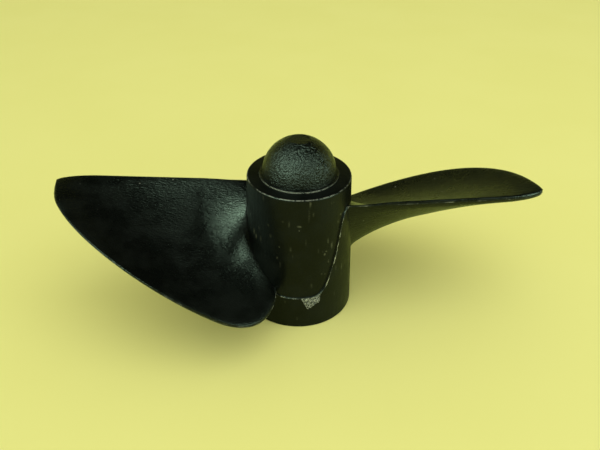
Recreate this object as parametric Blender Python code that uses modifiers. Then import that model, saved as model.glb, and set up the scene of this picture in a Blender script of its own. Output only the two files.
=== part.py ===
# Two-blade propeller of a model boat, moulded in one piece in black plastic.
# Metres, +Z up. The origin is on the shaft axis at the flat lower end of the hub,
# +Z runs up the shaft axis to the domed end, and the blade tips lie along X.
import math

import bmesh
import bpy
from mathutils import Vector

# Hub: a slightly tapered barrel that closes in a dome
HUB_HEIGHT = 0.0125
HUB_TOP_RADIUS = 0.0042
HUB_BOTTOM_RADIUS = 0.0047
HUB_TOP_EDGE_ROUND = 0.00012
HUB_BOTTOM_EDGE_ROUND = 0.00010
STEP_RADIUS = 0.00322
STEP_HEIGHT = 0.00010
DOME_RADIUS = 0.00298
DOME_COLLAR = 0.00012
GATE_RADIUS = 0.00085
HUB_STEPS = 72
DOME_ARC_POINTS = 12
EDGE_ARC_POINTS = 3

# Shaft hole: a blind hole from below, with a lead-in and a drill-shaped end
BORE_RADIUS = 0.0020
BORE_DEPTH = 0.0108
BORE_POINT = 0.0012
BORE_LEAD_IN = 0.0004
BORE_OVERSHOOT = 0.001
BORE_STEPS = 32

# Blade outline, seen along the shaft. The blade's axis is +X before it is turned to its place.
# Its straight edge lies just ahead of the axis, clockwise from above, and its curved edge is
# a quarter ellipse behind it.
TIP_REACH = 0.0200
TIP_AHEAD = 0.0004
STRAIGHT_EDGE_AHEAD = 0.00195
STRAIGHT_EDGE_TAPER = 0.055
TIP_ROUND = 0.0022
BLADE_DEPTH = 0.00924
ELLIPSE_CENTRE = 0.0046
ROOT_END = 0.00195
ROOT_CORNER_ROUND = 0.0033

# Blade surface. From the straight edge it winds down round the shaft, by this much a radian,
# and the winding dies out towards the tip. The section hangs below its chord like a shallow spoon.
STRAIGHT_EDGE_HEIGHT = 0.01057
STRAIGHT_EDGE_RISE = 0.037
WINDING_AT_HUB = 0.00407
WINDING_AT_MIDDLE = 0.00517
WINDING_MIDDLE_RADIUS = 0.0109
WINDING_LOSS_AT_TIP = 0.98
HOLLOW_AT_HUB = 0.00196
HOLLOW_FALL = 0.865
BELLY_AT_HUB = 0.00177
BELLY_FALL = 0.75
BELLY_FULLNESS = 0.6
EDGE_THICKNESS = 0.00043
UPPER_FILLET = 0.00088
LOWER_FILLET = 0.0009
FILLET_RUNOUT = 0.25

# Mesh of a blade: how many sections and points, and how close together they get at its edges
ROOT_STATIONS = (0.0033, 0.0039)
FILLET_STATIONS = 9
SPAN_STATIONS = 13
TIP_STATIONS = 9
LAST_TIP_STEP = 0.5
CHORD_POINTS = 9
EDGE_PLACES = (0.0, 0.07, 0.35, 1.0)
OUTLINE_POINTS = 200
CORNER_POINTS = 40
WIDEST_EDGE_SHARE = 0.45
SHORTEST_CHORD = 0.00001
SAME_POINT = 0.0000001

PLASTIC_COLOUR = (0.018, 0.019, 0.017, 1.0)
PLASTIC_ROUGHNESS = 0.42
SCREW_MERGE = 0.00001


def clear_scene():
    for obj in list(bpy.data.objects):
        bpy.data.objects.remove(obj, do_unlink=True)


def new_collection(name):
    collection = bpy.data.collections.new(name)
    bpy.context.scene.collection.children.link(collection)
    return collection


def plastic_material():
    material = bpy.data.materials.new("black_plastic")
    material.use_nodes = True
    shader = material.node_tree.nodes["Principled BSDF"]
    shader.inputs["Base Color"].default_value = PLASTIC_COLOUR
    shader.inputs["Roughness"].default_value = PLASTIC_ROUGHNESS
    shader.inputs["Metallic"].default_value = 0.0
    return material


def tip_radius():
    return math.hypot(TIP_REACH, TIP_AHEAD)


def share_of_span(radius, start=HUB_TOP_RADIUS):
    """0 at the start radius and 1 at the tip."""
    return min(1.0, max(0.0, (radius - start) / (tip_radius() - start)))


def winding(radius):
    """How far the blade drops for each radian behind its straight edge."""
    inner = min(1.0, (radius - HUB_TOP_RADIUS) / (WINDING_MIDDLE_RADIUS - HUB_TOP_RADIUS))
    outer = share_of_span(radius, WINDING_MIDDLE_RADIUS)
    grown = WINDING_AT_HUB + (WINDING_AT_MIDDLE - WINDING_AT_HUB) * inner
    return grown * (1.0 - WINDING_LOSS_AT_TIP * outer ** 2)


def hub_radius(height):
    return HUB_BOTTOM_RADIUS + (HUB_TOP_RADIUS - HUB_BOTTOM_RADIUS) * height / HUB_HEIGHT


def arc(centre, radius, start, end, count):
    """Points (r, z) on an arc, with both ends."""
    points = []
    for i in range(count + 1):
        angle = start + (end - start) * i / count
        points.append((centre[0] + radius * math.cos(angle), centre[1] + radius * math.sin(angle)))
    return points


def turned(name, profile, steps, collection):
    """A solid turned about Z from a profile that runs down its outer side."""
    mesh = bpy.data.meshes.new(name)
    points = [(r, 0.0, z) for r, z in profile]
    edges = [(i, i + 1) for i in range(len(points) - 1)]
    mesh.from_pydata(points, edges, [])
    obj = bpy.data.objects.new(name, mesh)
    collection.objects.link(obj)
    screw = obj.modifiers.new("turn", "SCREW")
    screw.steps = steps
    screw.render_steps = steps
    screw.use_merge_vertices = True
    screw.merge_threshold = SCREW_MERGE
    return obj


def hub_profile():
    collar_top = HUB_HEIGHT + DOME_COLLAR
    gate_angle = math.acos(GATE_RADIUS / DOME_RADIUS)
    profile = [(0.0, collar_top + DOME_RADIUS * math.sin(gate_angle))]
    profile += arc((0.0, collar_top), DOME_RADIUS, gate_angle, 0.0, DOME_ARC_POINTS)
    profile += [(DOME_RADIUS, HUB_HEIGHT + STEP_HEIGHT), (STEP_RADIUS, HUB_HEIGHT + STEP_HEIGHT),
                (STEP_RADIUS, HUB_HEIGHT)]
    top_centre = (HUB_TOP_RADIUS - HUB_TOP_EDGE_ROUND, HUB_HEIGHT - HUB_TOP_EDGE_ROUND)
    profile += arc(top_centre, HUB_TOP_EDGE_ROUND, math.pi / 2, 0.0, EDGE_ARC_POINTS)
    low_centre = (HUB_BOTTOM_RADIUS - HUB_BOTTOM_EDGE_ROUND, HUB_BOTTOM_EDGE_ROUND)
    profile += arc(low_centre, HUB_BOTTOM_EDGE_ROUND, 0.0, -math.pi / 2, EDGE_ARC_POINTS)
    profile.append((0.0, 0.0))
    return profile


def bore_profile():
    mouth = BORE_RADIUS + BORE_LEAD_IN
    return [(0.0, BORE_DEPTH + BORE_POINT), (BORE_RADIUS, BORE_DEPTH),
            (BORE_RADIUS, BORE_LEAD_IN), (mouth, 0.0), (mouth, -BORE_OVERSHOOT), (0.0, -BORE_OVERSHOOT)]


def straight_edge_angle(radius):
    """Angle ahead of the blade's axis to its straight edge, which rounds off into the tip."""
    ahead = STRAIGHT_EDGE_AHEAD - STRAIGHT_EDGE_TAPER * (radius - HUB_TOP_RADIUS)
    tip = math.atan2(TIP_AHEAD, TIP_REACH)
    into_tip = max(0.0, (radius - tip_radius() + TIP_ROUND) / TIP_ROUND)
    return tip + (math.asin(ahead / radius) - tip) * math.sqrt(max(0.0, 1.0 - into_tip ** 2))


def curved_outline():
    """The curved edge in plan from the tip round to the hub: (along the blade's axis, behind it)."""
    length = TIP_REACH - ELLIPSE_CENTRE
    points = []
    for i in range(OUTLINE_POINTS + 1):
        angle = math.pi / 2 * i / OUTLINE_POINTS
        behind = (BLADE_DEPTH + TIP_AHEAD) * math.sin(angle) - TIP_AHEAD
        points.append((ELLIPSE_CENTRE + length * math.cos(angle), behind))
    centre = (ROOT_END + ROOT_CORNER_ROUND, BLADE_DEPTH - ROOT_CORNER_ROUND)
    points += arc(centre, ROOT_CORNER_ROUND, math.pi / 2, math.pi, CORNER_POINTS)
    points.append((ROOT_END, HUB_TOP_RADIUS / 2.0))
    return points


def curved_edge_angle(radius, outline):
    """Angle behind the blade's axis to its curved edge at this radius."""
    for (x0, y0), (x1, y1) in zip(outline, outline[1:]):
        r0, r1 = math.hypot(x0, y0), math.hypot(x1, y1)
        if r1 <= radius <= r0 and r1 < r0:
            share = (r0 - radius) / (r0 - r1)
            return math.atan2(y0 + (y1 - y0) * share, x0 + (x1 - x0) * share)
    return math.atan2(-TIP_AHEAD, TIP_REACH)


def fillet(distance, size):
    """How far a fillet of this size stands off at this distance from the hub."""
    gap = min(1.0, max(0.0, distance / size))
    return size * (1.0 - math.sqrt(1.0 - (1.0 - gap) ** 2))


def chord_shares(chord):
    """Places across the blade from 0 to 1, close together where the edges are rounded."""
    edge = min(WIDEST_EDGE_SHARE, EDGE_THICKNESS / 2.0 / chord)
    near = [edge * place for place in EDGE_PLACES]
    middle = [edge + (1.0 - 2.0 * edge) * i / (CHORD_POINTS + 1) for i in range(1, CHORD_POINTS + 1)]
    return near + middle + [1.0 - share for share in reversed(near)]


def blade_section(radius, outline):
    """One closed ring of points round the blade at this radius from the shaft axis."""
    ahead = straight_edge_angle(radius)
    spread = ahead + curved_edge_angle(radius, outline)
    chord = max(radius * spread, SHORTEST_CHORD)
    drop_per_radian = winding(radius)
    thickening = 1.0 / math.cos(math.atan(drop_per_radian / radius))
    still_to_go = 1.0 - share_of_span(radius)
    hollow = HOLLOW_AT_HUB * still_to_go ** HOLLOW_FALL
    belly = BELLY_AT_HUB * still_to_go ** BELLY_FALL
    start = STRAIGHT_EDGE_HEIGHT + STRAIGHT_EDGE_RISE * (radius - HUB_TOP_RADIUS)
    edge_width = min(EDGE_THICKNESS / 2.0, chord * WIDEST_EDGE_SHARE)
    upper, lower = [], []
    for share in chord_shares(chord):
        turn = spread * share - ahead
        arch = 4.0 * share * (1.0 - share)
        middle = start - drop_per_radian * spread * share - hollow * arch
        half = (EDGE_THICKNESS + belly * arch ** BELLY_FULLNESS) / 2.0 * thickening
        from_hub = radius - hub_radius(middle)
        into_edge = 1.0 - min(1.0, min(share, 1.0 - share) * chord / edge_width)
        rounding = math.sqrt(1.0 - into_edge ** 2)
        runout = arch ** FILLET_RUNOUT
        rise = (half + fillet(from_hub, UPPER_FILLET) * runout) * rounding
        drop = (half + fillet(from_hub, LOWER_FILLET) * runout) * rounding
        x, y = radius * math.cos(turn), radius * math.sin(turn)
        upper.append(Vector((x, y, middle + rise)))
        lower.append(Vector((x, y, middle - drop)))
    return upper + lower[-2:0:-1]


def blade_radii():
    fillet_end = HUB_BOTTOM_RADIUS + LOWER_FILLET
    span_end = tip_radius() - TIP_ROUND
    radii = list(ROOT_STATIONS)
    for i in range(FILLET_STATIONS):
        radii.append(HUB_TOP_RADIUS + (fillet_end - HUB_TOP_RADIUS) * i / FILLET_STATIONS)
    for i in range(SPAN_STATIONS):
        radii.append(fillet_end + (span_end - fillet_end) * i / SPAN_STATIONS)
    for i in range(TIP_STATIONS + 1):
        angle = math.pi / 2 * i / (TIP_STATIONS + LAST_TIP_STEP)
        radii.append(span_end + TIP_ROUND * math.sin(angle))
    return radii


def blade(name, turn, collection):
    """A blade lofted through its sections and turned about the shaft axis to its place."""
    outline = curved_outline()
    shape = bmesh.new()
    rings = []
    for radius in blade_radii():
        rings.append([shape.verts.new(point) for point in blade_section(radius, outline)])
    count = len(rings[0])
    for inner, outer in zip(rings, rings[1:]):
        for i in range(count):
            k = (i + 1) % count
            shape.faces.new((inner[i], inner[k], outer[k], outer[i]))
    shape.faces.new(list(reversed(rings[0])))
    shape.faces.new(rings[-1])
    bmesh.ops.remove_doubles(shape, verts=shape.verts, dist=SAME_POINT)
    bmesh.ops.recalc_face_normals(shape, faces=shape.faces)
    mesh = bpy.data.meshes.new(name)
    shape.to_mesh(mesh)
    shape.free()
    obj = bpy.data.objects.new(name, mesh)
    obj.rotation_euler = (0.0, 0.0, turn)
    collection.objects.link(obj)
    return obj


def as_helper(obj):
    obj.hide_render = True
    obj.display_type = "WIRE"


def boolean(obj, other, operation):
    modifier = obj.modifiers.new(other.name, "BOOLEAN")
    modifier.operation = operation
    modifier.object = other
    modifier.solver = "EXACT"


clear_scene()
parts = new_collection("boat_propeller")
helpers = new_collection("cutters")
propeller = turned("propeller", hub_profile(), HUB_STEPS, parts)
blades = [blade("blade_right", math.radians(0.0), helpers), blade("blade_left", math.radians(180.0), helpers)]
shaft_hole = turned("shaft_hole", bore_profile(), BORE_STEPS, helpers)
for helper in blades + [shaft_hole]:
    as_helper(helper)
for piece in blades:
    boolean(propeller, piece, "UNION")
boolean(propeller, shaft_hole, "DIFFERENCE")
propeller.data.materials.append(plastic_material())
propeller.data.shade_smooth()
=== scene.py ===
# Two-blade propeller of a model boat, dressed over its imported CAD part. Metres, +Z up,
# the shaft axis is Z and the blade tips lie along X.
import math
import random

import bmesh
import bpy
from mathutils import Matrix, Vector, noise


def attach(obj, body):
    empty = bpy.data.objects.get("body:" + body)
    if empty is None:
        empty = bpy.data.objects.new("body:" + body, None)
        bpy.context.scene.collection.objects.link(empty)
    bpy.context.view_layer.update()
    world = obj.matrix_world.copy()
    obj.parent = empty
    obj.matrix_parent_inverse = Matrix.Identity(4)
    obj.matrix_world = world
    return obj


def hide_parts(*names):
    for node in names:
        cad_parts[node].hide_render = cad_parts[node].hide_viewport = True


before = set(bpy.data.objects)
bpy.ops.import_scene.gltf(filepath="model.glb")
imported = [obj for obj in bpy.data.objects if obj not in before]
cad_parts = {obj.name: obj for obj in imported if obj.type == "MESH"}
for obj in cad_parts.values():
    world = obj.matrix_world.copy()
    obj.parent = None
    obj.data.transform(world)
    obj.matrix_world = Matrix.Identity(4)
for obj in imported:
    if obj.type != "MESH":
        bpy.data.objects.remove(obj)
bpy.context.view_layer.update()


# Hub barrel. It is moulded in black plastic in one piece with the dome and both blades, and it
# tapers a little so that it leaves the mould. Its top rim is sharp and rubbed grey, with a painted
# highlight along it that is strongest at the front, and its foot is flat round the mouth of the shaft hole.
HUB_HEIGHT = 0.0125
HUB_TOP_RADIUS = 0.00426
HUB_FOOT_RADIUS = 0.0047
RIM_ROUND = 0.00012
FOOT_ROUND = 0.00010
HOLE_RADIUS = 0.0020
HOLE_DEPTH = 0.0108
HOLE_POINT = 0.0012
HOLE_LEAD_IN = 0.0004
PROUD = 0.00009
STEP_WIDTH = 0.00010
GROOVE_DEPTH = 0.00007
GROOVE_WIDTH = 0.00007
PARTING_START = 154.2
PARTING_LINE = [(140.0, 0.01200), (154.2, 0.01052), (180.0, 0.00790), (215.0, 0.00520), (240.0, 0.00370),
                (247.0, 0.00338), (252.0, 0.00321), (262.0, 0.00312), (274.0, 0.00314), (285.6, 0.00318),
                (292.3, 0.00335), (296.6, 0.00360), (300.9, 0.00410), (303.6, 0.00462), (307.9, 0.00558),
                (312.8, 0.00675), (315.7, 0.00761), (318.5, 0.00850), (322.0, 0.00950), (325.5, 0.01010),
                (330.0, 0.01040), (334.2, 0.01052), (348.0, 0.00900)]
HUB_COLUMNS = 400
SPECK = 0.00002
HAIR = 0.000001


def deselect_all():
    if bpy.context.object and bpy.context.object.mode == "EDIT":
        bpy.ops.object.mode_set(mode="OBJECT")
    bpy.ops.object.select_all(action="DESELECT")


def open_for_editing(piece, name):
    """Names a primitive that was just added, puts its place into its mesh and opens it."""
    piece.name = name
    piece.data.name = name
    bpy.ops.object.transform_apply(location=True, rotation=True, scale=True)
    bpy.ops.object.mode_set(mode="EDIT")


def choose(piece, kind, wanted):
    """Selects in edit mode what has its middle where wanted says, and nothing else."""
    bpy.ops.mesh.select_mode(type=kind)
    bpy.ops.mesh.select_all(action="DESELECT")
    shape = bmesh.from_edit_mesh(piece.data)
    for part in {"VERT": shape.verts, "EDGE": shape.edges, "FACE": shape.faces}[kind]:
        if kind == "VERT":
            middle = part.co
        elif kind == "EDGE":
            middle = (part.verts[0].co + part.verts[1].co) / 2
        else:
            middle = part.calc_center_median()
        if wanted(middle):
            part.select_set(True)
    shape.select_flush_mode()
    bmesh.update_edit_mesh(piece.data)


def close_editing(piece, smooth=None):
    """Makes the faces point outwards and shades them smooth up to an angle in degrees."""
    bpy.ops.mesh.select_all(action="SELECT")
    bpy.ops.mesh.normals_make_consistent(inside=False)
    bpy.ops.object.mode_set(mode="OBJECT")
    if smooth is not None:
        bpy.ops.object.shade_smooth_by_angle(angle=math.radians(smooth))
    else:
        bpy.ops.object.shade_smooth()


def out_from_axis(place):
    return math.hypot(place.x, place.y)


def smooth_table(table, value):
    """A smooth curve through the points of a table, read at a value inside it."""
    for before, first, second, after in zip(table, table[1:], table[2:], table[3:]):
        if first[0] <= value <= second[0]:
            step = second[0] - first[0]
            way = (value - first[0]) / step
            slope_in = (second[1] - before[1]) / (second[0] - before[0]) * step
            slope_out = (after[1] - first[1]) / (after[0] - first[0]) * step
            return ((2 * way ** 3 - 3 * way ** 2 + 1) * first[1] + (way ** 3 - 2 * way ** 2 + way) * slope_in
                    + (3 * way ** 2 - 2 * way ** 3) * second[1] + (way ** 3 - way ** 2) * slope_out)
    return table[1][1] if value < table[1][0] else table[-2][1]


def hub_radius(height):
    return HUB_FOOT_RADIUS + (HUB_TOP_RADIUS - HUB_FOOT_RADIUS) * height / HUB_HEIGHT


def parting_height(azimuth):
    """Height on the hub, at an angle round it, of the line where the two mould halves met."""
    return smooth_table(PARTING_LINE, PARTING_START + (math.degrees(azimuth) - PARTING_START) % 180.0)


def ease(value, low, high):
    share = min(1.0, max(0.0, (value - low) / (high - low)))
    return share * share * (3.0 - 2.0 * share)


deselect_all()
bpy.ops.mesh.primitive_cylinder_add(
    vertices=HUB_COLUMNS, radius=HUB_FOOT_RADIUS, depth=HUB_HEIGHT, end_fill_type="NGON",
    location=(0.0, 0.0, HUB_HEIGHT / 2))
hub = bpy.context.object
open_for_editing(hub, "hub_barrel")
choose(hub, "VERT", lambda place: place.z > HUB_HEIGHT - SPECK)
taper = HUB_TOP_RADIUS / HUB_FOOT_RADIUS
bpy.ops.transform.resize(value=(taper, taper, 1.0))
choose(hub, "EDGE", lambda place: place.z > HUB_HEIGHT - SPECK)
bpy.ops.mesh.bevel(offset=RIM_ROUND, segments=4, affect="EDGES")
choose(hub, "EDGE", lambda place: place.z < SPECK)
bpy.ops.mesh.bevel(offset=FOOT_ROUND, segments=3, affect="EDGES")
choose(hub, "FACE", lambda place: place.z < SPECK and out_from_axis(place) < HOLE_RADIUS)
bpy.ops.mesh.inset(thickness=HUB_FOOT_RADIUS - FOOT_ROUND - HOLE_RADIUS - HOLE_LEAD_IN)
bpy.ops.mesh.extrude_region_move(TRANSFORM_OT_translate={"value": (0.0, 0.0, HOLE_LEAD_IN)})
narrowing = HOLE_RADIUS / (HOLE_RADIUS + HOLE_LEAD_IN)
bpy.ops.transform.resize(value=(narrowing, narrowing, 1.0))
bpy.ops.mesh.extrude_region_move(
    TRANSFORM_OT_translate={"value": (0.0, 0.0, HOLE_DEPTH - HOLE_LEAD_IN)})
bpy.ops.mesh.extrude_region_move(TRANSFORM_OT_translate={"value": (0.0, 0.0, HOLE_POINT)})
bpy.ops.mesh.merge(type="CENTER")

# Scuffs and dust rubbed into the skin: angle round the hub, height, half width and half height in
# millimetres, and how pale. The first ones are those of the photo, the others lie all round it.
SCUFFS = [
    (215, 8.47, 0.10, 0.24, 0.55), (219, 8.15, 0.09, 0.20, 0.60), (224, 9.13, 0.07, 0.12, 0.30),
    (271, 10.18, 0.15, 0.08, 0.60), (281, 11.14, 0.05, 0.50, 0.22), (282, 12.20, 0.05, 0.28, 0.60),
    (303, 8.43, 0.05, 0.24, 0.40), (308, 7.88, 0.08, 0.30, 0.45), (292, 7.72, 0.03, 0.28, 0.35),
    (299, 7.21, 0.07, 0.10, 0.70), (301, 7.46, 0.05, 0.06, 0.60), (304, 6.40, 0.05, 0.14, 0.40),
    (323, 5.12, 0.05, 0.30, 0.55), (296, 5.33, 0.06, 0.07, 0.40), (300, 5.20, 0.05, 0.06, 0.35),
    (250, 8.09, 0.04, 0.04, 0.60), (248, 6.97, 0.05, 0.12, 0.35), (278, 8.67, 0.03, 0.25, 0.20),
    (254, 10.50, 0.08, 0.06, 0.30), (237, 9.84, 0.09, 0.09, 0.25), (240, 8.90, 0.10, 0.15, 0.16)]
random.seed(11)
for _ in range(70):
    SCUFFS.append((random.uniform(0, 360), random.uniform(0.6, 12.2), random.uniform(0.025, 0.08),
                   random.uniform(0.03, 0.26), random.uniform(0.08, 0.34)))
scuff_places = []
for angle, rise, half_width, half_height, paleness in SCUFFS:
    scuff_places.append((math.radians(angle), rise, half_width, half_height, paleness))

# The half of the mould below the parting line was a little wider, so the hub steps out there,
# and a fine dark groove runs just inside the step.
for cuts in (100, 1):
    choose(hub, "EDGE", lambda place: FOOT_ROUND + SPECK < place.z < HUB_HEIGHT - RIM_ROUND - SPECK
           and out_from_axis(place) > HUB_TOP_RADIUS - SPECK)
    shape = bmesh.from_edit_mesh(hub.data)
    for edge in shape.edges:
        if edge.select and abs(edge.verts[0].co.z - edge.verts[1].co.z) < SPECK:
            edge.select_set(False)
    bpy.ops.mesh.subdivide(number_cuts=cuts)
shape = bmesh.from_edit_mesh(hub.data)
scuff_layer = shape.verts.layers.float.new("scuff")
line_heights = {}
for vert in shape.verts:
    if out_from_axis(vert.co) < HUB_TOP_RADIUS - 0.0002 or vert.co.z > HUB_HEIGHT - RIM_ROUND - HAIR:
        continue
    azimuth = math.atan2(vert.co.y, vert.co.x)
    key = round(azimuth * 1000)
    if key not in line_heights:
        nearby = 0.01
        slope = (parting_height(azimuth + nearby) - parting_height(azimuth - nearby)) / (2 * nearby)
        line_heights[key] = parting_height(azimuth), math.hypot(1.0, slope / HUB_FOOT_RADIUS)
    line_height, steepness = line_heights[key]
    inside = (vert.co.z - line_height) / steepness
    swell = PROUD * (1.0 - ease(inside, -STEP_WIDTH / 2, STEP_WIDTH / 2))
    steep = ease(steepness, 1.05, 1.5)
    swell -= GROOVE_DEPTH * steep * math.exp(-((inside - GROOVE_WIDTH) / GROOVE_WIDTH) ** 2)
    pale = 0.0
    for angle, rise, half_width, half_height, paleness in scuff_places:
        up = abs(vert.co.z * 1000.0 - rise) / half_height
        if up < 1.6:
            aside = abs((azimuth - angle + math.pi) % (2 * math.pi) - math.pi) * 4.5 / half_width
            if aside < 1.6:
                broken = 0.6 + 0.9 * noise.noise(vert.co * 16000.0)
                pale = max(pale, paleness * max(0.0, broken) * (1.0 - ease(math.hypot(up, aside), 0.5, 1.6)))
    vert[scuff_layer] = pale
    wider = 1.0 + swell / out_from_axis(vert.co)
    vert.co.x *= wider
    vert.co.y *= wider
bmesh.update_edit_mesh(hub.data)
close_editing(hub, 40)


def put(tree, kind, settings=None, **inputs):
    """Adds a shader node, sets its properties, and sets or links its inputs."""
    node = tree.nodes.new(kind)
    for name, value in (settings or {}).items():
        setattr(node, name, value)
    for name, value in inputs.items():
        socket = node.inputs[int(name[1:])] if name[0] == "i" and name[1:].isdigit() else node.inputs[
            name.replace("_", " ")]
        if isinstance(value, bpy.types.NodeSocket):
            tree.links.new(value, socket)
        else:
            socket.default_value = value
    return node


def new_group(name, inputs, outputs):
    """An empty shader group with named float and vector sockets."""
    tree = bpy.data.node_groups.new(name, "ShaderNodeTree")
    for label, kind, value in inputs:
        socket = tree.interface.new_socket(name=label, in_out="INPUT", socket_type="NodeSocket" + kind)
        if value is not None:
            socket.default_value = value
    for label, kind in outputs:
        tree.interface.new_socket(name=label, in_out="OUTPUT", socket_type="NodeSocket" + kind)
    return tree, tree.nodes.new("NodeGroupInput"), tree.nodes.new("NodeGroupOutput")


def ramp(tree, value, low, high, to_low=0.0, to_high=1.0):
    """Maps a value from one range to another and stops at its ends."""
    return put(tree, "ShaderNodeMapRange", {"clamp": True, "interpolation_type": "SMOOTHSTEP"},
               Value=value, From_Min=low, From_Max=high, To_Min=to_low, To_Max=to_high).outputs[0]


def times(tree, a, b):
    return put(tree, "ShaderNodeMath", {"operation": "MULTIPLY"}, i0=a, i1=b).outputs[0]


def plus(tree, a, b):
    return put(tree, "ShaderNodeMath", {"operation": "ADD"}, i0=a, i1=b).outputs[0]


# Skin of the moulding: the fine pebbled grain that the mould leaves, which breaks every highlight
# into specks, and a slower cloudiness of the gloss. Stretch draws the grain out along X.
grain, take, give = new_group(
    "moulded_grain",
    [("Grains per Metre", "Float", 9000.0), ("Stretch", "Float", 1.0)],
    [("Height", "Float"), ("Specks", "Float"), ("Clouds", "Float")])
place = put(grain, "ShaderNodeTexCoord").outputs["Object"]
squeeze = put(grain, "ShaderNodeCombineXYZ", X=take.outputs["Stretch"], Y=1.0, Z=1.0).outputs[0]
drawn = put(grain, "ShaderNodeVectorMath", {"operation": "MULTIPLY"}, i0=place, i1=squeeze).outputs[0]
fine = put(grain, "ShaderNodeTexNoise", Vector=drawn, Scale=take.outputs["Grains per Metre"],
           Detail=3.0, Roughness=0.6).outputs[0]
coarse_count = times(grain, take.outputs["Grains per Metre"], 0.35)
coarse = put(grain, "ShaderNodeTexNoise", Vector=drawn, Scale=coarse_count, Detail=2.0).outputs[0]
clouds = put(grain, "ShaderNodeTexNoise", Vector=place, Scale=450.0, Detail=4.0, Roughness=0.6).outputs[0]
speck_count = times(grain, take.outputs["Grains per Metre"], 1.1)
specks = put(grain, "ShaderNodeTexNoise", Vector=drawn, Scale=speck_count, Detail=1.0).outputs[0]
height = plus(grain, times(grain, fine, 0.65), times(grain, coarse, 0.35))
grain.links.new(height, give.inputs["Height"])
grain.links.new(ramp(grain, specks, 0.56, 0.72), give.inputs["Specks"])
grain.links.new(ramp(grain, clouds, 0.35, 0.65), give.inputs["Clouds"])

# Dust and lint: sparse pale specks of about a twentieth of a millimetre, a few of them bigger.
dust, take, give = new_group(
    "dust_specks", [("Share", "Float", 0.06), ("Size", "Float", 0.16)], [("Dust", "Float")])
place = put(dust, "ShaderNodeTexCoord").outputs["Object"]
wobble = put(dust, "ShaderNodeTexNoise", Vector=place, Scale=9000.0, Detail=1.0).outputs["Color"]
shaken = put(dust, "ShaderNodeMixRGB", {"blend_type": "LINEAR_LIGHT"}, Fac=0.00004, Color1=place,
             Color2=wobble).outputs[0]
cells = put(dust, "ShaderNodeTexVoronoi", {"feature": "F1"}, Vector=shaken, Scale=1500.0)
dot = ramp(dust, cells.outputs["Distance"], take.outputs["Size"], 0.0)
chosen = put(dust, "ShaderNodeSeparateColor", Color=cells.outputs["Color"]).outputs[0]
kept = put(dust, "ShaderNodeMath", {"operation": "LESS_THAN"}, i0=chosen, i1=take.outputs["Share"]).outputs[0]
dust.links.new(times(dust, dot, kept), give.inputs["Dust"])

# Rubbed edge and painted highlight: the black plastic turns grey and rough in broken streaks where it is knocked, and
# the same streaky grey, laid heavier at the front, also paints the light caught by an edge.
wear_and_glint, take, give = new_group(
    "rubbed_and_glinting_edge", [("Edge", "Float", 0.0), ("Broken", "Float", 0.5)], [("Wear and Glint", "Float")])
place = put(wear_and_glint, "ShaderNodeTexCoord").outputs["Object"]
breaks = put(wear_and_glint, "ShaderNodeTexNoise", Vector=place, Scale=2600.0, Detail=4.0, Roughness=0.65).outputs[0]
limit = plus(wear_and_glint, take.outputs["Broken"], 0.14)
broken = ramp(wear_and_glint, breaks, take.outputs["Broken"], limit)
wear_and_glint.links.new(times(wear_and_glint, broken, take.outputs["Edge"]), give.inputs["Wear and Glint"])


def new_material(name, gloss=0.5):
    material = bpy.data.materials.new(name)
    material.use_nodes = True
    material.node_tree.nodes["Principled BSDF"].inputs["Specular IOR Level"].default_value = gloss
    return material, material.node_tree, material.node_tree.nodes["Principled BSDF"]


def use(tree, group, **inputs):
    """Places a shader group in a material with its own values."""
    node = tree.nodes.new("ShaderNodeGroup")
    node.node_tree = group
    for name, value in inputs.items():
        socket = node.inputs[name.replace("_", " ")]
        if isinstance(value, bpy.types.NodeSocket):
            tree.links.new(value, socket)
        else:
            socket.default_value = value
    return node


def blend(tree, share, a, b):
    """Mixes two colours by a mask."""
    node = put(tree, "ShaderNodeMix", {"data_type": "RGBA"}, i0=share, i6=a, i7=b)
    return node.outputs[2]


BLACK = (0.0016, 0.0021, 0.0014, 1.0)
BLACK_CLOUD = (0.0030, 0.0036, 0.0024, 1.0)
DUST_COLOUR = (0.22, 0.24, 0.18, 1.0)
WEAR_AND_GLINT_COLOUR = (0.17, 0.19, 0.14, 1.0)
SCUFF_COLOUR = (0.16, 0.175, 0.11, 1.0)

hub_plastic, tree, shader = new_material("hub_plastic", 0.15)
skin = use(tree, grain, Grains_per_Metre=7000.0, Stretch=1.0)
motes = use(tree, dust, Share=0.12, Size=0.13)
place = put(tree, "ShaderNodeTexCoord").outputs["Object"]
place_xyz = put(tree, "ShaderNodeSeparateXYZ", Vector=place)
drag = put(tree, "ShaderNodeVectorMath", {"operation": "MULTIPLY"}, i0=place, i1=(1.0, 1.0, 0.05)).outputs[0]
streaks = put(tree, "ShaderNodeTexNoise", Vector=drag, Scale=3500.0, Detail=3.0).outputs[0]
across = put(tree, "ShaderNodeVectorMath", {"operation": "MULTIPLY"}, i0=place, i1=(1.0, 1.0, 0.0)).outputs[0]
from_axis = put(tree, "ShaderNodeVectorMath", {"operation": "LENGTH"}, i0=across).outputs["Value"]
near_top = ramp(tree, place_xyz.outputs["Z"], HUB_HEIGHT - 0.00007, HUB_HEIGHT - 0.00003)
near_outside = ramp(tree, from_axis, HUB_TOP_RADIUS - 0.00011, HUB_TOP_RADIUS - 0.00006)
near_rim = times(tree, near_top, near_outside)
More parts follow.
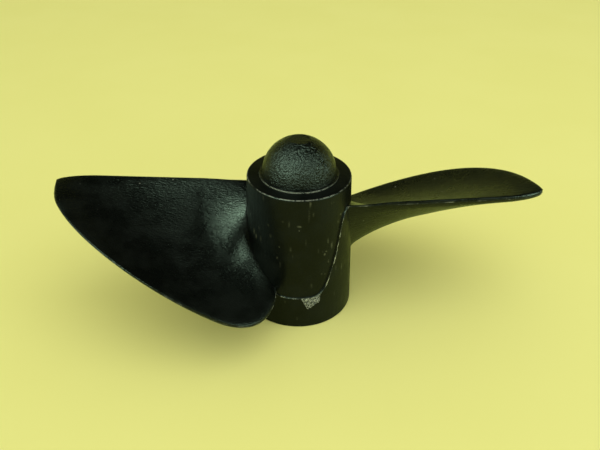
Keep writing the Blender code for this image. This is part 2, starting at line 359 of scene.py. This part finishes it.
# The rim's pale grey is partly wear and partly a painted highlight: it is laid heavier towards the front, where the
# rim catches the light.
toward_front = put(tree, "ShaderNodeVectorMath", {"operation": "DOT_PRODUCT"}, i0=place, i1=(-0.35, -0.94, 0.0))
more_in_front = ramp(tree, toward_front.outputs["Value"], -0.0010, 0.0042, 0.25, 1.0)
rim = use(tree, wear_and_glint, Edge=times(tree, near_rim, more_in_front), Broken=0.42)
scuffed = put(tree, "ShaderNodeAttribute", {"attribute_name": "scuff"}).outputs["Fac"]
colour = blend(tree, skin.outputs["Clouds"], BLACK, BLACK_CLOUD)
colour = blend(tree, rim.outputs["Wear and Glint"], colour, WEAR_AND_GLINT_COLOUR)
colour = blend(tree, scuffed, colour, SCUFF_COLOUR)
colour = blend(tree, motes.outputs["Dust"], colour, DUST_COLOUR)
tree.links.new(colour, shader.inputs["Base Color"])
roughness = plus(tree, ramp(tree, skin.outputs["Clouds"], 0.0, 1.0, 0.30, 0.40),
                 times(tree, streaks, 0.08))
tree.links.new(roughness, shader.inputs["Roughness"])
height = plus(tree, times(tree, skin.outputs["Height"], 0.5), times(tree, streaks, 0.5))
bump = put(tree, "ShaderNodeBump", Height=height, Strength=1.0, Distance=0.00003).outputs[0]
tree.links.new(bump, shader.inputs["Normal"])
hub.data.materials.append(hub_plastic)
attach(hub, "root")
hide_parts("propeller")


# Step and dome. The dome that closes the hub stands on a low turned step, whose edge carries a
# painted highlight, strongest at the front and broken into streaks. It comes from the same mould, whose skin was more
# pitted there.
STEP_RADIUS = 0.00325
STEP_HEIGHT = 0.00010
DOME_RADIUS = 0.00302
DOME_COLLAR = 0.00012
GATE_RADIUS = 0.00085
DOME_ROOT = 0.0004
DOME_MARKS = [  # angle round the dome, angle above its foot, half width and height, a pit being below 0
    (261, 61, 0.13, 0.055), (268, 63, 0.10, 0.040), (250, 66, 0.12, 0.030), (282, 64, 0.10, 0.050),
    (288, 57, 0.07, 0.060), (292, 68, 0.11, 0.050), (302, 66, 0.10, 0.055), (314, 66, 0.11, 0.055),
    (324, 69, 0.10, 0.045), (308, 59, 0.07, 0.040), (39, 78, 0.12, 0.040), (197, 66, 0.12, 0.020),
    (266, 57, 0.09, -0.050), (282, 58, 0.09, -0.055), (296, 60, 0.10, -0.070), (315, 61, 0.10, -0.070),
    (274, 48, 0.08, -0.040), (293, 47, 0.08, -0.040), (236, 58, 0.07, -0.025), (304, 55, 0.07, -0.045),
    (270, 3, 0.05, 0.030), (160, 40, 0.10, -0.020), (75, 35, 0.12, -0.020), (20, 52, 0.09, 0.025)]
SCRATCH = [(300, 52), (306, 52), (313, 51), (318, 48), (321, 44), (320, 34), (322, 28), (320, 20)]
SCRATCH_WIDTH = 0.045
SCRATCH_DEPTH = 0.055

deselect_all()
bpy.ops.mesh.primitive_cylinder_add(
    vertices=192, radius=STEP_RADIUS, depth=DOME_ROOT, end_fill_type="NGON",
    location=(0.0, 0.0, HUB_HEIGHT + STEP_HEIGHT - DOME_ROOT / 2))
step = bpy.context.object
open_for_editing(step, "dome_step")
choose(step, "EDGE", lambda place: place.z > HUB_HEIGHT + STEP_HEIGHT - SPECK)
bpy.ops.mesh.bevel(offset=0.00003, segments=3, affect="EDGES")
choose(step, "FACE", lambda place: place.z > HUB_HEIGHT + STEP_HEIGHT - SPECK and out_from_axis(place) < 0.001)
bpy.ops.mesh.inset(thickness=STEP_RADIUS - 0.00003 - DOME_RADIUS)
close_editing(step, 40)

deselect_all()
centre = HUB_HEIGHT + DOME_COLLAR
bpy.ops.mesh.primitive_uv_sphere_add(segments=480, ring_count=240, radius=DOME_RADIUS, location=(0.0, 0.0, centre))
dome = bpy.context.object
open_for_editing(dome, "dome")
bpy.ops.mesh.select_all(action="SELECT")
bpy.ops.mesh.bisect(plane_co=(0.0, 0.0, centre), plane_no=(0.0, 0.0, 1.0), clear_inner=True, threshold=HAIR)
bpy.ops.mesh.select_all(action="SELECT")
gate_height = centre + math.sqrt(DOME_RADIUS ** 2 - GATE_RADIUS ** 2)
bpy.ops.mesh.bisect(plane_co=(0.0, 0.0, gate_height), plane_no=(0.0, 0.0, 1.0),
                    use_fill=True, clear_outer=True, threshold=HAIR)
choose(dome, "EDGE", lambda place: place.z < centre + HAIR)
bpy.ops.mesh.extrude_region_move(TRANSFORM_OT_translate={"value": (0.0, 0.0, -DOME_ROOT)})
bpy.ops.mesh.edge_face_add()


def on_dome(round_angle, rise_angle):
    a, e = math.radians(round_angle), math.radians(rise_angle)
    return Vector((math.cos(a) * math.cos(e), math.sin(a) * math.cos(e), math.sin(e))) * DOME_RADIUS * 1000.0


# Each mark is a smooth lump or pit in the skin. The scratch is a groove with a lip on its upper
# side, and the rim of the gate stands a little proud, broken where the gate was torn off.
lumps = [(on_dome(a, e), width, rise) for a, e, width, rise in DOME_MARKS]
scratch = [on_dome(a, e) for a, e in SCRATCH]
shape = bmesh.from_edit_mesh(dome.data)
for vert in shape.verts:
    from_centre = (vert.co - Vector((0.0, 0.0, centre))) * 1000.0
    if vert.co.z < centre + SPECK:
        continue
    rise = 0.0
    for place, width, top in lumps:
        gap = (from_centre - place).length / width
        if gap < 3.0:
            rise += top * math.exp(-gap * gap)
    for start, end in zip(scratch, scratch[1:]):
        along = min(1.0, max(0.0, (from_centre - start).dot(end - start) / (end - start).length_squared))
        aside = from_centre - start.lerp(end, along)
        gap = aside.length
        if gap < 4.0 * SCRATCH_WIDTH:
            groove = -SCRATCH_DEPTH * math.exp(-(gap / SCRATCH_WIDTH) ** 2)
            lip = 0.5 * SCRATCH_DEPTH * math.exp(-((gap - 2.0 * SCRATCH_WIDTH) / SCRATCH_WIDTH) ** 2)
            rise = min(rise, groove) if gap < 1.3 * SCRATCH_WIDTH else max(rise, lip if aside.z > 0.0 else 0.0)
    from_axis = math.hypot(from_centre.x, from_centre.y)
    ragged = noise.noise(from_centre * 4.0)
    rise += 0.030 * math.exp(-((from_axis - 0.90) / 0.07) ** 2) * (0.5 + ragged)
    rise += 0.010 * noise.noise(from_centre * 2.2) + 0.006 * noise.noise(from_centre * 6.0)
    fade = 1.0 if from_axis > 0.80 else ease(from_axis, 0.3, 0.80)
    vert.co += from_centre.normalized() * rise * 0.001 * fade
bmesh.update_edit_mesh(dome.data)
close_editing(dome, 40)

dome_plastic, tree, shader = new_material("dome_plastic", 0.24)
skin = use(tree, grain, Grains_per_Metre=6000.0, Stretch=1.0)
motes = use(tree, dust, Share=0.06, Size=0.14)
place = put(tree, "ShaderNodeTexCoord").outputs["Object"]
across = put(tree, "ShaderNodeVectorMath", {"operation": "MULTIPLY"}, i0=place, i1=(1.0, 1.0, 0.0)).outputs[0]
from_axis = put(tree, "ShaderNodeVectorMath", {"operation": "LENGTH"}, i0=across).outputs["Value"]
near_edge = ramp(tree, from_axis, STEP_RADIUS - 0.00005, STEP_RADIUS - 0.00002)
# The bright line on the step's edge is a painted highlight, laid heavier towards the front where the edge catches the
# light.
toward_front = put(tree, "ShaderNodeVectorMath", {"operation": "DOT_PRODUCT"}, i0=place, i1=(-0.2, -0.98, 0.0))
more_in_front = ramp(tree, toward_front.outputs["Value"], 0.0, 0.0032, 0.10, 1.0)
step_glint = use(tree, wear_and_glint, Edge=times(tree, near_edge, more_in_front), Broken=0.36)
colour = blend(tree, skin.outputs["Clouds"], BLACK, BLACK_CLOUD)
colour = blend(tree, step_glint.outputs["Wear and Glint"], colour, WEAR_AND_GLINT_COLOUR)
colour = blend(tree, motes.outputs["Dust"], colour, DUST_COLOUR)
tree.links.new(colour, shader.inputs["Base Color"])
tree.links.new(ramp(tree, skin.outputs["Clouds"], 0.0, 1.0, 0.27, 0.37), shader.inputs["Roughness"])
bump = put(tree, "ShaderNodeBump", Height=skin.outputs["Height"], Strength=1.0, Distance=0.00017).outputs[0]
tree.links.new(bump, shader.inputs["Normal"])
for piece in (step, dome):
    piece.data.materials.append(dome_plastic)
    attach(piece, "root")
    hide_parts("propeller")


# Blades. Two alike, moulded with the hub and half a turn apart. Each has one straight edge, high
# on the hub, and winds down and back to a curved edge that ends in a round corner by the hub's
# foot. A cylinder is cut into rings along its length, and each ring is laid round the blade's
# section, because no operator gives this winding and hollow.
TIP_REACH = 0.01998
TIP_AHEAD = 0.00013
STRAIGHT_EDGE_AHEAD = 0.00193
STRAIGHT_EDGE_TAPER = 0.051
TIP_ROUND = 0.00325
BLADE_DEPTH = 0.00942
ELLIPSE_CENTRE = 0.00543
OUTLINE_FULLNESS = 1.088
ROOT_END = 0.00178
ROOT_CORNER_DEPTH = 0.00492
ROOT_CORNER_FULLNESS = 2.3
STRAIGHT_EDGE_HEIGHT = 0.01055
STRAIGHT_EDGE_RISE = 0.04242
WINDING_AT_HUB = 0.00405
WINDING_AT_MIDDLE = 0.00502
WINDING_MIDDLE_RADIUS = 0.0109
WINDING_LOSS_AT_TIP = 1.092
HOLLOW_AT_HUB = 0.00219
HOLLOW_FALL = 0.949
BELLY_AT_HUB = 0.00173
BELLY_FALL = 0.534
BELLY_FULLNESS = 0.6
EDGE_THICKNESS = 0.00043
CURVED_EDGE_THICKNESS = 0.00014
ROOT_LINE = [(-0.1, 0.0107), (0.0, 0.01060), (0.1, 0.01045), (0.2, 0.01020), (0.3, 0.00985), (0.4, 0.0093),
             (0.47, 0.00865), (0.53, 0.00790), (0.58, 0.00710), (0.64, 0.00635), (0.73, 0.00568),
             (0.82, 0.00500), (0.91, 0.00432), (0.97, 0.00383), (1.0, 0.00345), (1.1, 0.0025)]
SWELL_WIDTH = 0.0040
SWELL_WIDTH_AT_CURVED_EDGE = 0.0014
SWELL_CURVE = 1.4
LOWER_FILLET = 0.0009
FILLET_RUNOUT = 0.25
BLADE_RINGS = 101
CHORD_POINTS = 49
EDGE_POINTS = 8
RING_START = 0.0034
TIP_RADIUS = math.hypot(TIP_REACH, TIP_AHEAD)


def share_of_span(radius, start=HUB_TOP_RADIUS):
    return min(1.0, max(0.0, (radius - start) / (TIP_RADIUS - start)))


def winding(radius):
    """How far the blade drops for each radian behind its straight edge."""
    inner = min(1.0, (radius - HUB_TOP_RADIUS) / (WINDING_MIDDLE_RADIUS - HUB_TOP_RADIUS))
    grown = WINDING_AT_HUB + (WINDING_AT_MIDDLE - WINDING_AT_HUB) * inner
    return grown * (1.0 - WINDING_LOSS_AT_TIP * share_of_span(radius, WINDING_MIDDLE_RADIUS) ** 2)


def straight_edge_angle(radius):
    """Angle ahead of the blade's axis to its straight edge, which rounds off into the tip."""
    ahead = STRAIGHT_EDGE_AHEAD - STRAIGHT_EDGE_TAPER * (radius - HUB_TOP_RADIUS)
    tip = math.atan2(TIP_AHEAD, TIP_REACH)
    into_tip = max(0.0, (radius - TIP_RADIUS + TIP_ROUND) / TIP_ROUND)
    return tip + (math.asin(ahead / radius) - tip) * math.sqrt(max(0.0, 1.0 - into_tip ** 2))


curved_outline = []
for i in range(401):
    angle = math.pi / 2 * i / 400
    across = math.cos(angle) ** OUTLINE_FULLNESS
    deep = math.sin(angle) ** OUTLINE_FULLNESS
    curved_outline.append((ELLIPSE_CENTRE + (TIP_REACH - ELLIPSE_CENTRE) * across,
                           (BLADE_DEPTH + TIP_AHEAD) * deep - TIP_AHEAD))
for i in range(81):
    angle = math.pi / 2 * (1.0 - i / 80)
    across = math.cos(angle) ** (2.0 / ROOT_CORNER_FULLNESS)
    deep = math.sin(angle) ** (2.0 / ROOT_CORNER_FULLNESS)
    curved_outline.append((ELLIPSE_CENTRE - (ELLIPSE_CENTRE - ROOT_END) * across,
                           BLADE_DEPTH - ROOT_CORNER_DEPTH * (1.0 - deep)))
curved_outline.append((ROOT_END, HUB_TOP_RADIUS / 2))


def curved_edge_angle(radius):
    """Angle behind the blade's axis to its curved edge."""
    for (x0, y0), (x1, y1) in zip(curved_outline, curved_outline[1:]):
        r0, r1 = math.hypot(x0, y0), math.hypot(x1, y1)
        if r1 <= radius <= r0 and r1 < r0:
            share = (r0 - radius) / (r0 - r1)
            return math.atan2(y0 + (y1 - y0) * share, x0 + (x1 - x0) * share)
    return math.atan2(-TIP_AHEAD, TIP_REACH)


def root_line_height(share):
    """Height on the hub where the upper face of the blade meets it."""
    return smooth_table(ROOT_LINE, share)


def fillet(distance, size):
    gap = min(1.0, max(0.0, distance / size))
    return size * (1.0 - math.sqrt(1.0 - (1.0 - gap) ** 2))


def middle_and_half(radius, share):
    """Height of the middle of the blade's thickness, and half that thickness upright."""
    spread = straight_edge_angle(radius) + curved_edge_angle(radius)
    thickening = 1.0 / math.cos(math.atan(winding(radius) / radius))
    still_to_go = 1.0 - share_of_span(radius)
    arch = 4.0 * share * (1.0 - share)
    middle = STRAIGHT_EDGE_HEIGHT + STRAIGHT_EDGE_RISE * (radius - HUB_TOP_RADIUS)
    middle -= winding(radius) * spread * share + HOLLOW_AT_HUB * still_to_go ** HOLLOW_FALL * arch
    edge = EDGE_THICKNESS + (CURVED_EDGE_THICKNESS - EDGE_THICKNESS) * share ** 3
    middle -= (EDGE_THICKNESS - edge) / 2 * thickening
    belly = BELLY_AT_HUB * still_to_go ** BELLY_FALL * arch ** BELLY_FULLNESS
    return middle, (edge + belly) / 2 * thickening, edge


def blade_place(radius, share, side):
    """A point of the blade: share runs from the straight edge to the curved one, side is 1 on the
    upper face, -1 on the lower face and 0 in the middle of its thickness."""
    ahead = straight_edge_angle(radius)
    spread = ahead + curved_edge_angle(radius)
    chord = max(radius * spread, 0.00001)
    middle, half, edge = middle_and_half(radius, share)
    from_hub = max(0.0, radius - hub_radius(middle))
    if side > 0:
        root_radius = hub_radius(root_line_height(share))
        root_middle, root_half, _ = middle_and_half(root_radius, share)
        swell = root_line_height(share) - root_middle - root_half
        width = SWELL_WIDTH + (SWELL_WIDTH_AT_CURVED_EDGE - SWELL_WIDTH) * share ** 2
        swell *= (1.0 - min(1.0, max(0.0, radius - root_radius) / width)) ** SWELL_CURVE
    else:
        swell = fillet(from_hub, LOWER_FILLET) * (4.0 * share * (1.0 - share)) ** FILLET_RUNOUT
    stand_off = max(edge / 2, half + swell)
    edge_width = min(edge / 2, chord * 0.45)
    into_edge = 1.0 - min(1.0, min(share, 1.0 - share) * chord / edge_width)
    squareness = 2.6 if side > 0 else 2.0
    rounding = (1.0 - into_edge ** squareness) ** (1.0 / squareness)
    turn = spread * share - ahead
    return Vector((radius * math.cos(turn), radius * math.sin(turn), middle + side * stand_off * rounding))


def chord_shares(radius):
    """Places across the blade, close together where the edges are rounded."""
    chord = max(radius * (straight_edge_angle(radius) + curved_edge_angle(radius)), 0.00001)
    near = min(0.45, EDGE_THICKNESS / 2 / chord)
    far = min(0.45, CURVED_EDGE_THICKNESS / 2 / chord)
    bends = [1.0 - math.cos(math.pi / 2 * i / EDGE_POINTS) for i in range(EDGE_POINTS + 1)]
    middle = [near + (1.0 - near - far) * i / (CHORD_POINTS + 1) for i in range(1, CHORD_POINTS + 1)]
    return [near * bend for bend in bends] + middle + [1.0 - far * bend for bend in reversed(bends)]


def ring_radius(number):
    """Rings lie close together in the fillet and at the tip."""
    share = number / (BLADE_RINGS - 1)
    eased = 0.5 * (share ** 1.6) + 0.5 * math.sin(math.pi / 2 * share)
    return RING_START + (TIP_RADIUS - 0.000002 - RING_START) * min(1.0, eased)


points_round = 2 * (2 * (EDGE_POINTS + 1) + CHORD_POINTS) - 2
deselect_all()
bpy.ops.mesh.primitive_cylinder_add(
    vertices=points_round, radius=0.001, depth=1.0, end_fill_type="NGON", location=(0.0, 0.0, 0.5))
right_blade = bpy.context.object
open_for_editing(right_blade, "blade_right")
choose(right_blade, "EDGE", lambda place: abs(place.z - 0.5) < 0.1)
bpy.ops.mesh.subdivide(number_cuts=BLADE_RINGS - 2)
shape = bmesh.from_edit_mesh(right_blade.data)
rings = {}
for vert in shape.verts:
    number = round(vert.co.z * (BLADE_RINGS - 1))
    angle = round(math.atan2(vert.co.y, vert.co.x) / (2 * math.pi) * points_round) % points_round
    rings[number, angle] = vert
for number in range(BLADE_RINGS):
    radius = ring_radius(number)
    shares = chord_shares(radius)
    upper = [blade_place(radius, share, 1) for share in shares]
    lower = [blade_place(radius, share, -1) for share in shares]
    for angle, point in enumerate(upper + lower[-2:0:-1]):
        rings[number, angle].co = point
bmesh.update_edit_mesh(right_blade.data)
close_editing(right_blade)

deselect_all()
right_blade.select_set(True)
bpy.context.view_layer.objects.active = right_blade
bpy.ops.object.duplicate()
left_blade = bpy.context.object
left_blade.name = "blade_left"
left_blade.data.name = "blade_left"
left_blade.rotation_euler = (0.0, 0.0, math.pi)
bpy.ops.object.transform_apply(location=True, rotation=True, scale=True)

blade_plastic, tree, shader = new_material("blade_plastic", 0.22)
skin = use(tree, grain, Grains_per_Metre=8500.0, Stretch=0.35)
motes = use(tree, dust, Share=0.12, Size=0.14)
colour = blend(tree, skin.outputs["Clouds"], BLACK, BLACK_CLOUD)
colour = blend(tree, motes.outputs["Dust"], colour, DUST_COLOUR)
tree.links.new(colour, shader.inputs["Base Color"])
tree.links.new(ramp(tree, skin.outputs["Clouds"], 0.0, 1.0, 0.27, 0.36), shader.inputs["Roughness"])
bump = put(tree, "ShaderNodeBump", Height=skin.outputs["Height"], Strength=1.0, Distance=0.00007).outputs[0]
tree.links.new(bump, shader.inputs["Normal"])
for piece in (right_blade, left_blade):
    piece.data.materials.append(blade_plastic)
    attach(piece, "root")
    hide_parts("propeller")


# Flash. Where the two halves of the mould met, a thin ragged fin of plastic is left. On the hub it
# stands along the step and has gone pale, and round the edge of each blade it is finer and dark.
HUB_FLASH_RADIUS = 0.000030
EDGE_FLASH_RADIUS = 0.000020
FLASH_OFFSET = 0.00004


def ragged_line(name, path, closed, radius, thinnest, thickest, stray):
    """A fin along a path, its thickness and place straying a little from point to point."""
    line = bpy.data.curves.new(name, "CURVE")
    line.dimensions = "3D"
    line.bevel_depth = radius
    line.bevel_resolution = 1
    line.use_fill_caps = True
    spline = line.splines.new("POLY")
    spline.points.add(len(path) - 1)
    spline.use_cyclic_u = closed
    thickness = 1.0
    for point, place in zip(spline.points, path):
        thickness = min(thickest, max(thinnest, thickness + random.uniform(-0.45, 0.45)))
        strayed = place + Vector([random.uniform(-stray, stray) for _ in range(3)])
        point.co = (*strayed, 1.0)
        point.radius = thickness
    piece = bpy.data.objects.new(name, line)
    bpy.context.scene.collection.objects.link(piece)
    deselect_all()
    piece.select_set(True)
    bpy.context.view_layer.objects.active = piece
    bpy.ops.object.convert(target="MESH")
    piece = bpy.context.object
    open_for_editing(piece, name)
    bpy.ops.mesh.select_all(action="SELECT")
    bpy.ops.mesh.remove_doubles(threshold=HAIR / 10)
    close_editing(piece)
    return piece


random.seed(7)
hub_path = []
for i in range(241):
    azimuth = math.radians(247.0 + 88.0 * i / 240)
    nearby = 0.01
    slope = (parting_height(azimuth + nearby) - parting_height(azimuth - nearby)) / (2 * nearby) / HUB_FOOT_RADIUS
    steepness = math.hypot(1.0, slope)
    height = parting_height(azimuth) - FLASH_OFFSET / steepness
    azimuth += FLASH_OFFSET * slope / steepness / HUB_FOOT_RADIUS
    radius = hub_radius(height) + PROUD - 0.000005
    hub_path.append(Vector((radius * math.cos(azimuth), radius * math.sin(azimuth), height)))
root_radius = HUB_TOP_RADIUS + 0.0001
span = TIP_RADIUS - 0.000002 - root_radius
blade_radii = [root_radius + span * math.sin(math.pi / 2 * i / 260) for i in range(261)]
edge_path = [blade_place(radius, 0.0, 0) for radius in blade_radii]
edge_path += [blade_place(radius, 1.0, 0) for radius in reversed(blade_radii[:-1])
              if radius > hub_radius(blade_place(radius, 1.0, 0).z)]
flash_pieces = []
for side, turn in (("front", 1.0), ("back", -1.0)):
    path = [Vector((point.x * turn, point.y * turn, point.z)) for point in hub_path]
    flash_pieces.append(ragged_line("flash_hub_" + side, path, False, HUB_FLASH_RADIUS, 0.35, 1.7, 0.000022))
for side, turn in (("right", 1.0), ("left", -1.0)):
    path = [Vector((point.x * turn, point.y * turn, point.z)) for point in edge_path]
    flash_pieces.append(ragged_line("flash_blade_" + side, path, False, EDGE_FLASH_RADIUS, 0.5, 1.4, 0.000010))


def flash_material(name, gloss, count, dark, pale, from_level, to_level):
    """Plastic gone pale in patches along the fin."""
    material, tree, shader = new_material(name, gloss)
    place = put(tree, "ShaderNodeTexCoord").outputs["Object"]
    patches = put(tree, "ShaderNodeTexNoise", Vector=place, Scale=count, Detail=4.0, Roughness=0.65).outputs[0]
    colour = blend(tree, ramp(tree, patches, from_level, to_level), dark, pale)
    tree.links.new(colour, shader.inputs["Base Color"])
    tree.links.new(ramp(tree, patches, 0.3, 0.7, 0.35, 0.6), shader.inputs["Roughness"])
    return material


hub_flash = flash_material("hub_flash", 0.3, 1700.0, (0.025, 0.030, 0.018, 1.0), (0.42, 0.45, 0.31, 1.0), 0.42, 0.62)
edge_flash = flash_material("edge_flash", 0.25, 900.0, (0.004, 0.005, 0.003, 1.0), (0.26, 0.28, 0.19, 1.0), 0.50, 0.68)
for piece in flash_pieces:
    piece.data.materials.append(hub_flash if "hub" in piece.name else edge_flash)
    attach(piece, "root")
    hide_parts("propeller")


# Torn patch. On the front of the hub a lip of flash was torn away below the parting line and left
# a rough, whitened patch of strands, about 1.7 mm wide and 1.4 mm high.
TORN_LOWER = [(268.0, 0.00315), (272.6, 0.00310), (275.0, 0.00285), (278.0, 0.00228), (280.8, 0.00190),
              (284.5, 0.00205), (289.0, 0.00232), (293.0, 0.00250), (295.6, 0.00312), (300.0, 0.00350)]
TORN_FROM = 272.6
TORN_TO = 295.6
TORN_HEIGHT = 0.000085

deselect_all()
bpy.ops.mesh.primitive_cube_add(size=2.0)
torn = bpy.context.object
open_for_editing(torn, "torn_patch")
bpy.ops.mesh.select_all(action="SELECT")
bpy.ops.mesh.subdivide(number_cuts=70)
shape = bmesh.from_edit_mesh(torn.data)
torn_layer = shape.verts.layers.float.new("torn")
for vert in shape.verts:
    across, up, out = (vert.co.x + 1.0) / 2, (vert.co.z + 1.0) / 2, (1.0 - vert.co.y) / 2
    angle = TORN_FROM + (TORN_TO - TORN_FROM) * across
    top = parting_height(math.radians(angle)) + 0.00002
    bottom = smooth_table(TORN_LOWER, angle)
    height = bottom + (top - bottom) * up
    azimuth = math.radians(angle)
    spot = Vector((math.radians(angle) * 4.7, height * 1000.0, 0.0))
    strands = noise.noise(Vector((spot.x * 5.5 + spot.y * 3.0, spot.y * 9.0 - spot.x * 2.0, 0.3)))
    ridges = max(0.0, 1.0 - abs(strands) * 3.2) ** 1.5
    crumbs = max(0.0, noise.noise(spot * 17.0) + 0.15)
    border = min(across, 1.0 - across) * 9.0
    border = min(border, up * 8.0 + 0.4 * noise.noise(spot * 8.0), (1.0 - up) * 12.0 + 0.35)
    fade = ease(border, 0.0, 1.0)
    rise = TORN_HEIGHT * (0.75 * ridges + 0.6 * crumbs) * fade - 0.000012 * (1.0 - fade)
    vert[torn_layer] = fade * min(1.0, 0.85 * ridges + 1.3 * crumbs)
    outer = hub_radius(height) + PROUD + rise
    radius = outer - 0.00012 * (1.0 - out)
    vert.co = Vector((radius * math.cos(azimuth), radius * math.sin(azimuth), height))
bmesh.update_edit_mesh(torn.data)
close_editing(torn)

torn_plastic, tree, shader = new_material("torn_plastic", 0.2)
whitened = put(tree, "ShaderNodeAttribute", {"attribute_name": "torn"}).outputs["Fac"]
place = put(tree, "ShaderNodeTexCoord").outputs["Object"]
crumbs = put(tree, "ShaderNodeTexNoise", Vector=place, Scale=14000.0, Detail=3.0).outputs[0]
pale = times(tree, ramp(tree, whitened, 0.25, 0.95), ramp(tree, crumbs, 0.35, 0.60, 0.35, 1.0))
colour = blend(tree, pale, (0.004, 0.007, 0.004, 1.0), (0.50, 0.54, 0.40, 1.0))
tree.links.new(colour, shader.inputs["Base Color"])
shader.inputs["Roughness"].default_value = 0.6
bump = put(tree, "ShaderNodeBump", Height=crumbs, Strength=1.0, Distance=0.00004).outputs[0]
tree.links.new(bump, shader.inputs["Normal"])
torn.data.materials.append(torn_plastic)
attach(torn, "root")
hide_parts("propeller")


# Table top: a plain pale yellow sheet, slightly mottled. In the gloss of the plastic it shows a deeper greenish
# yellow, which is a painted reflection colour.
deselect_all()
bpy.ops.mesh.primitive_circle_add(vertices=96, radius=0.10, fill_type="NGON")
table = bpy.context.object
open_for_editing(table, "table_top")
bpy.ops.mesh.select_all(action="SELECT")
bpy.ops.mesh.inset(thickness=0.02)
choose(table, "EDGE", lambda place: out_from_axis(place) > 0.0995)
bpy.ops.transform.resize(value=(3.5, 3.5, 1.0))
close_editing(table, 30)
sheet, tree, shader = new_material("pale_sheet")
place = put(tree, "ShaderNodeTexCoord").outputs["Object"]
mottle = put(tree, "ShaderNodeTexNoise", Vector=place, Scale=60.0, Detail=2.0).outputs[0]
colour = blend(tree, ramp(tree, mottle, 0.3, 0.7), (0.80, 0.79, 0.245, 1.0), (0.81, 0.80, 0.255, 1.0))
# Painted reflection: rays reflected by the plastic see the sheet in a deeper greenish yellow than the camera does.
glossy = put(tree, "ShaderNodeLightPath").outputs["Is Glossy Ray"]
colour = blend(tree, glossy, colour, (0.66, 0.78, 0.15, 1.0))
tree.links.new(colour, shader.inputs["Base Color"])
shader.inputs["Roughness"].default_value = 0.8
shader.inputs["Specular IOR Level"].default_value = 0.2
table.data.materials.append(sheet)


# Light: a pale room lights the table evenly, and a broad soft lamp ahead and to the right throws
# the faint shadows. Two smaller ones, left and right, only glint in the gloss of the plastic.
# What the gloss sees is dark overhead and in front, and as yellow as the table behind.
def soft_lamp(name, azimuth, elevation, distance, size, watts, colour, in_gloss):
    light = bpy.data.lights.new(name, "AREA")
    light.shape = "DISK"
    light.size = size
    light.energy = watts
    light.color = colour
    lamp = bpy.data.objects.new(name, light)
    bpy.context.scene.collection.objects.link(lamp)
    a, e = math.radians(azimuth), math.radians(elevation)
    way = Vector((math.cos(a) * math.cos(e), math.sin(a) * math.cos(e), math.sin(e)))
    lamp.location = way * distance
    lamp.rotation_euler = way.to_track_quat("Z", "Y").to_euler()
    lamp.visible_camera = False
    lamp.visible_glossy = in_gloss
    lamp.visible_diffuse = not in_gloss
    return lamp


soft_lamp("lamp_over", -50.0, 62.0, 0.30, 0.42, 0.52, (0.88, 0.90, 1.0), False)
soft_lamp("glint_left", -138.0, 42.0, 0.40, 0.28, 5.2, (0.66, 1.0, 0.70), True)
soft_lamp("glint_right", -28.0, 24.0, 0.40, 0.20, 2.3, (0.66, 1.0, 0.70), True)

world = bpy.data.worlds.new("studio")
bpy.context.scene.world = world
world.use_nodes = True
tree = world.node_tree
way = put(tree, "ShaderNodeSeparateXYZ", Vector=put(tree, "ShaderNodeTexCoord").outputs["Generated"])
low = ramp(tree, way.outputs["Z"], 0.40, 0.02)
behind = ramp(tree, way.outputs["Y"], -0.25, 0.35)
room = blend(tree, times(tree, low, behind), (0.012, 0.016, 0.011, 1.0), (0.56, 0.64, 0.14, 1.0))
rays = put(tree, "ShaderNodeLightPath")
room = blend(tree, rays.outputs["Is Diffuse Ray"], room, (0.70, 0.69, 0.55, 1.0))
room = blend(tree, rays.outputs["Is Camera Ray"], room, (0.80, 0.78, 0.24, 1.0))
tree.links.new(room, tree.nodes["Background"].inputs["Color"])

# Camera, close above the table and looking down at the blades from the side of one straight edge.
view = bpy.data.cameras.new("camera")
view.sensor_width = 36.0
view.lens = 36.0
view.clip_start = 0.001
camera = bpy.data.objects.new("camera", view)
bpy.context.scene.collection.objects.link(camera)
camera.location = (0.00013, -0.04250, 0.03656)
camera.rotation_euler = (math.radians(55.529), math.radians(-0.757), math.radians(0.520))
bpy.context.scene.camera = camera
bpy.context.scene.view_settings.view_transform = "Standard"
